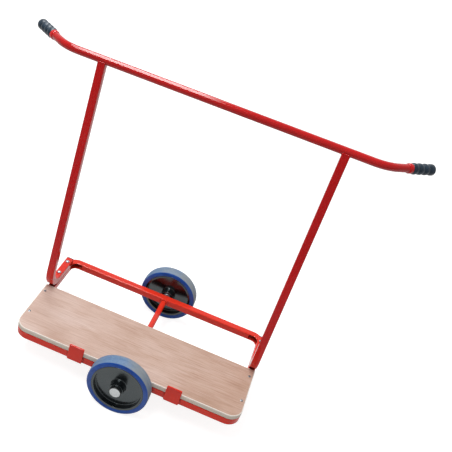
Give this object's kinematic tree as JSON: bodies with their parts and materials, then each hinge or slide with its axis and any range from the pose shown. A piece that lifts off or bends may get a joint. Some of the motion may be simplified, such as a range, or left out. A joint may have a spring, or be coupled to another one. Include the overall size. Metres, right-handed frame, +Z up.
{
  "type": "sheet goods cart",
  "caption": "Low two-wheeled cart for carrying boards on edge: plywood deck in a red tube frame with stop tabs, leaning uprights and a wide push bar with swept grips.",
  "frame": {"origin": "centre of the cart between the two wheels, on the floor plane that the wheels stand on", "axes": "+X along the deck toward the right end as seen from the loading side, +Y across the cart from the loading side to the rear, along the axle, +Z up"},
  "size_m": [1.2624, 0.5942, 0.975],
  "materials": {
    "red_paint": "glossy red powder coat on steel tube",
    "plywood": "pale plywood, sanded, with pinkish face grain and layered edge",
    "grip_rubber": "matt slate grey moulded rubber",
    "plug_plastic": "matt dark plastic",
    "zinc_steel": "bright zinc-plated steel",
    "cap_plastic": "smooth pale plastic, plain face",
    "blue_tyre": "blue moulded elastic rubber, dusty grey-blue tread",
    "rim_plastic": "glossy black moulded plastic",
    "bush_bronze": "plain sintered bronze"
  },
  "bodies": {
    "frame": {"base_frame": "red_paint", "axle_rod": "red_paint", "deck_board": "plywood", "handlebar": "red_paint", "left_upright": "red_paint", "right_upright": "red_paint", "left_stop_tab": "red_paint", "right_stop_tab": "red_paint", "left_bar_collar": "red_paint", "right_bar_collar": "red_paint", "left_grip": "grip_rubber", "right_grip": "grip_rubber", "left_foot_plug": "plug_plastic", "right_foot_plug": "plug_plastic", "left_front_deck_screw": "zinc_steel", "left_rear_deck_screw": "zinc_steel", "right_front_deck_screw": "zinc_steel", "right_rear_deck_screw": "zinc_steel", "left_front_foot_bolt": "zinc_steel", "left_rear_foot_bolt": "zinc_steel", "right_front_foot_bolt": "zinc_steel", "right_rear_foot_bolt": "zinc_steel", "left_front_foot_washer": "zinc_steel", "left_rear_foot_washer": "zinc_steel", "right_front_foot_washer": "zinc_steel", "right_rear_foot_washer": "zinc_steel", "left_front_foot_nut": "zinc_steel", "left_rear_foot_nut": "zinc_steel", "right_front_foot_nut": "zinc_steel", "right_rear_foot_nut": "zinc_steel", "front_axle_spacer": "zinc_steel", "rear_axle_spacer": "zinc_steel", "front_axle_washer": "zinc_steel", "rear_axle_washer": "zinc_steel", "front_axle_cap": "cap_plastic", "rear_axle_cap": "cap_plastic"},
    "front_wheel": {"front_tyre": "blue_tyre", "front_rim": "rim_plastic", "front_hub_bush": "bush_bronze"},
    "rear_wheel": {"rear_tyre": "blue_tyre", "rear_rim": "rim_plastic", "rear_hub_bush": "bush_bronze"}
  },
  "joints": [
    {"name": "front_wheel_spin", "type": "hinge", "parent": "frame", "child": "front_wheel", "pos_m": [0, -0.259, 0.1025], "axis": [0, 1, 0], "continuous": true},
    {"name": "rear_wheel_spin", "type": "hinge", "parent": "frame", "child": "rear_wheel", "pos_m": [0, 0.259, 0.1025], "axis": [0, 1, 0], "continuous": true}
  ]
}
